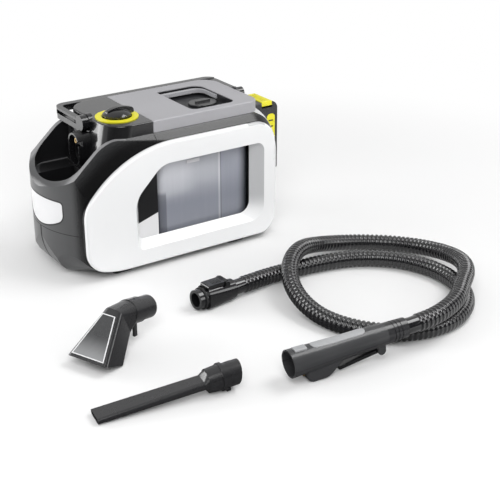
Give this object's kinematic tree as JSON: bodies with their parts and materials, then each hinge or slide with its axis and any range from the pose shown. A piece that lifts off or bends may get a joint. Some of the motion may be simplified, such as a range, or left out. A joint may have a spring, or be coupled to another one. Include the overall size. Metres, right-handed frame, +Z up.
{
  "type": "spot extractor",
  "caption": "Battery spot extractor with a clear lift-out tank, carry handle, ribbed suction hose with spray gun, hand nozzle and crevice nozzle.",
  "frame": {"origin": "on the floor under the middle of the machine", "axes": "+X along the machine towards the battery, -Y the labelled side, +Z up"},
  "size_m": [0.7015, 0.6576, 0.2609],
  "materials": {
    "shell_dark": "satin moulded dark grey",
    "shell_white": "glossy moulded near-white",
    "lid_grey": "satin warm light grey",
    "yellow": "bright yellow",
    "black_gloss": "polished black",
    "tank_clear": "smoky clear",
    "window_clear": "smoky clear",
    "label": "bare printed sheet",
    "soft_rubber": "matte rubber",
    "hose_black": "glossy ribbed black",
    "pad_grey": "soft grey",
    "brass": "turned",
    "steel": "drawn steel",
    "board": "circuit board",
    "inner_plastic": "moulded"
  },
  "bodies": {
    "machine": {"base_half_near": "shell_dark", "base_half_far": "shell_dark", "front_housing": "shell_dark", "deck_frame": "shell_dark", "tower_cover": "shell_dark", "side_panel_near": "shell_white", "side_panel_far": "shell_white", "side_label": "label", "front_plate": "shell_white", "rear_cover": "shell_white", "battery_dock": "inner_plastic", "rubber_feet": "soft_rubber", "knob_ring": "yellow", "knob_switch": "inner_plastic", "hose_socket": "shell_dark", "air_duct": "inner_plastic", "water_coupling": "brass", "turbine_housing": "inner_plastic", "suction_motor": "steel", "water_pump": "inner_plastic", "control_board": "board", "tank_seat": "soft_rubber", "handle_pivot_pins": "steel"},
    "impeller": {"turbine_impeller": "inner_plastic"},
    "knob": {"mode_knob": "black_gloss"},
    "handle": {"carry_handle": "shell_dark"},
    "tank": {"clear_tank": "tank_clear", "water_filter": "inner_plastic", "tank_lid": "lid_grey", "lid_seal": "soft_rubber", "float_cage": "inner_plastic"},
    "bail": {"tank_bail": "lid_grey"},
    "cap": {"filler_cap": "lid_grey"},
    "float": {"float_ball": "shell_white"},
    "battery": {"battery_pack": "black_gloss", "battery_grips": "yellow"},
    "battery_button": {"battery_release": "yellow"},
    "hose_set": {"hose_connector": "black_gloss", "connector_seal": "soft_rubber", "suction_hose": "hose_black", "gun_upper": "shell_dark", "gun_lower": "shell_dark", "gun_cuff": "soft_rubber", "gun_grip_pad": "pad_grey", "spray_jet": "brass"},
    "latch": {"connector_latch": "black_gloss"},
    "trigger": {"gun_trigger": "black_gloss"},
    "gun_button": {"gun_release_button": "pad_grey"},
    "hand_nozzle": {"hand_nozzle_body": "shell_dark", "hand_nozzle_window": "window_clear"},
    "crevice": {"crevice_nozzle": "shell_dark"}
  },
  "joints": [
    {"name": "impeller_spin", "type": "hinge", "parent": "machine", "child": "impeller", "pos_m": [-0.116, 0.028, 0.02], "axis": [0, 0, 1], "continuous": true},
    {"name": "knob_turn", "type": "hinge", "parent": "machine", "child": "knob", "pos_m": [-0.086, -0.027, 0.244], "axis": [0, 0, 1], "range_deg": [0, 135]},
    {"name": "handle_swing", "type": "hinge", "parent": "machine", "child": "handle", "pos_m": [0, 0, 0.235], "axis": [-1, 0, 0], "range_deg": [-95, 0]},
    {"name": "tank_lift", "type": "slide", "parent": "machine", "child": "tank", "axis": [0, 0, 1], "range_m": [0, 0.2]},
    {"name": "bail_swing", "type": "hinge", "parent": "tank", "child": "bail", "pos_m": [0.074, -0.004, 0.238], "axis": [-1, 0, 0], "range_deg": [-90, 0]},
    {"name": "cap_lift", "type": "slide", "parent": "tank", "child": "cap", "axis": [0, 0, 1], "range_m": [0, 0.03]},
    {"name": "float_rise", "type": "slide", "parent": "tank", "child": "float", "axis": [0, 0, 1], "range_m": [0, 0.03]},
    {"name": "battery_slide", "type": "slide", "parent": "machine", "child": "battery", "axis": [0, 0, 1], "range_m": [0, 0.14]},
    {"name": "battery_release_press", "type": "slide", "parent": "battery", "child": "battery_button", "axis": [0, 0, -1], "range_m": [0, 0.003], "stiffness_N_per_m": 800, "springref_m": -0.002},
    {"name": "hose_set_lift", "type": "slide", "parent": "machine", "child": "hose_set", "axis": [0, 0, 1], "range_m": [0, 0.15]},
    {"name": "latch_press", "type": "hinge", "parent": "hose_set", "child": "latch", "pos_m": [-0.03888, -0.26172, 0.03475], "axis": [0.0723, -0.9974, 0], "range_deg": [0, 3], "stiffness_Nm_per_rad": 0.4, "springref_deg": -5.73},
    {"name": "trigger_pull", "type": "hinge", "parent": "hose_set", "child": "trigger", "pos_m": [0.04276, -0.53553, 0.01865], "axis": [0.1331, 0.9911, 0], "range_deg": [0, 6], "stiffness_Nm_per_rad": 0.5, "springref_deg": -8.59},
    {"name": "gun_release_press", "type": "slide", "parent": "hose_set", "child": "gun_button", "axis": [0.0628, -0.0084, -0.998], "range_m": [0, 0.0025], "stiffness_N_per_m": 800, "springref_m": -0.002},
    {"name": "hand_nozzle_lift", "type": "slide", "parent": "machine", "child": "hand_nozzle", "axis": [0, 0, 1], "range_m": [0, 0.15]},
    {"name": "crevice_lift", "type": "slide", "parent": "machine", "child": "crevice", "axis": [0, 0, 1], "range_m": [0, 0.15]}
  ]
}
